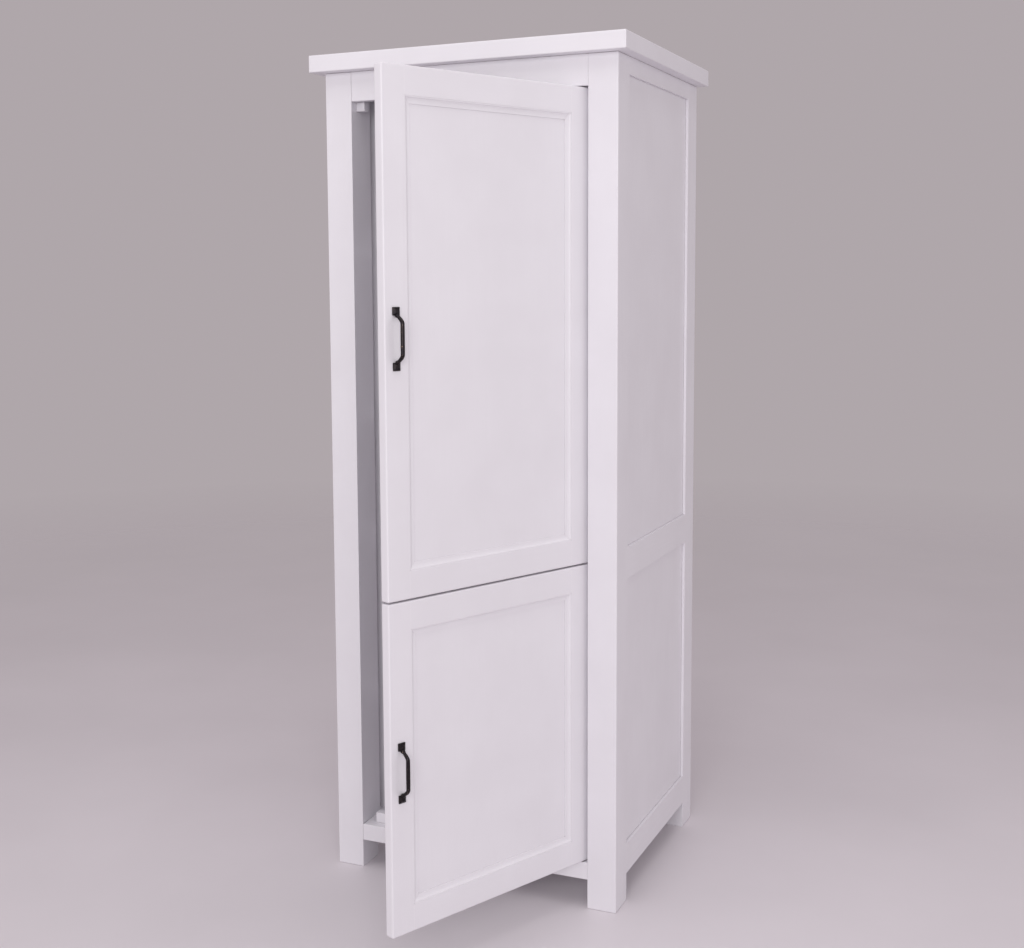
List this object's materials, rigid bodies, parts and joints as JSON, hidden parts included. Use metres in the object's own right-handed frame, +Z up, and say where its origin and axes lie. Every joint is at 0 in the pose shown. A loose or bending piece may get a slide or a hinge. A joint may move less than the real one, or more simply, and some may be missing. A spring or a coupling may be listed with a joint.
{
  "type": "pantry cabinet",
  "caption": "Tall free-standing pantry cabinet with panelled sides, square legs, an overhanging top and inset panelled doors, one above the other, with dark iron bow handles.",
  "frame": {"origin": "outer corner of the front left post's foot, at floor level", "axes": "+X along the front to the right as seen from in front, +Y from the front to the back, +Z up"},
  "size_m": [0.75, 1.1224, 1.9],
  "materials": {
    "white_paint": "satin white paint over solid wood",
    "black_iron": "black wax over forged iron, rubbed to bronze at the edges",
    "nickel": "bright nickel plate"
  },
  "bodies": {
    "cabinet": {"top_board": "white_paint", "front_left_post": "white_paint", "front_right_post": "white_paint", "rear_left_post": "white_paint", "rear_right_post": "white_paint", "front_top_rail": "white_paint", "front_bottom_rail": "white_paint", "left_top_rail": "white_paint", "right_top_rail": "white_paint", "left_middle_rail": "white_paint", "right_middle_rail": "white_paint", "left_bottom_rail": "white_paint", "right_bottom_rail": "white_paint", "left_upper_panel": "white_paint", "right_upper_panel": "white_paint", "left_lower_panel": "white_paint", "right_lower_panel": "white_paint", "back_top_rail": "white_paint", "back_middle_rail": "white_paint", "back_bottom_rail": "white_paint", "back_upper_panel": "white_paint", "back_lower_panel": "white_paint", "post_strips": "white_paint", "floor_board": "white_paint", "floor_cleats": "white_paint", "left_shelf_uprights": "white_paint", "right_shelf_uprights": "white_paint", "lower_shelf": "white_paint", "middle_shelf": "white_paint", "upper_shelf": "white_paint", "top_shelf": "white_paint", "shelf_pins": "nickel", "upper_stop_block": "white_paint", "lower_stop_block": "white_paint", "hinge_arms": "nickel", "hinge_plates": "nickel", "hinge_plate_screws": "nickel"},
    "upper_door": {"upper_door_hinge_stile": "white_paint", "upper_door_free_stile": "white_paint", "upper_door_top_rail": "white_paint", "upper_door_bottom_rail": "white_paint", "upper_door_panel": "white_paint", "upper_door_moulding": "white_paint", "upper_door_hinge_cups": "nickel", "upper_door_hinge_pins": "nickel", "upper_door_screws": "nickel", "upper_door_handle": "black_iron"},
    "lower_door": {"lower_door_hinge_stile": "white_paint", "lower_door_free_stile": "white_paint", "lower_door_top_rail": "white_paint", "lower_door_bottom_rail": "white_paint", "lower_door_panel": "white_paint", "lower_door_moulding": "white_paint", "lower_door_hinge_cups": "nickel", "lower_door_hinge_pins": "nickel", "lower_door_screws": "nickel", "lower_door_handle": "black_iron"}
  },
  "joints": [
    {"name": "upper_door_hinge", "type": "hinge", "parent": "cabinet", "child": "upper_door", "pos_m": [0.617, 0.0085, 1.28625], "axis": [0, 0, 1], "range_deg": [-66.5, 33.5]},
    {"name": "lower_door_hinge", "type": "hinge", "parent": "cabinet", "child": "lower_door", "pos_m": [0.617, 0.0085, 0.4415], "axis": [0, 0, 1], "range_deg": [-66.5, 33.5]}
  ]
}
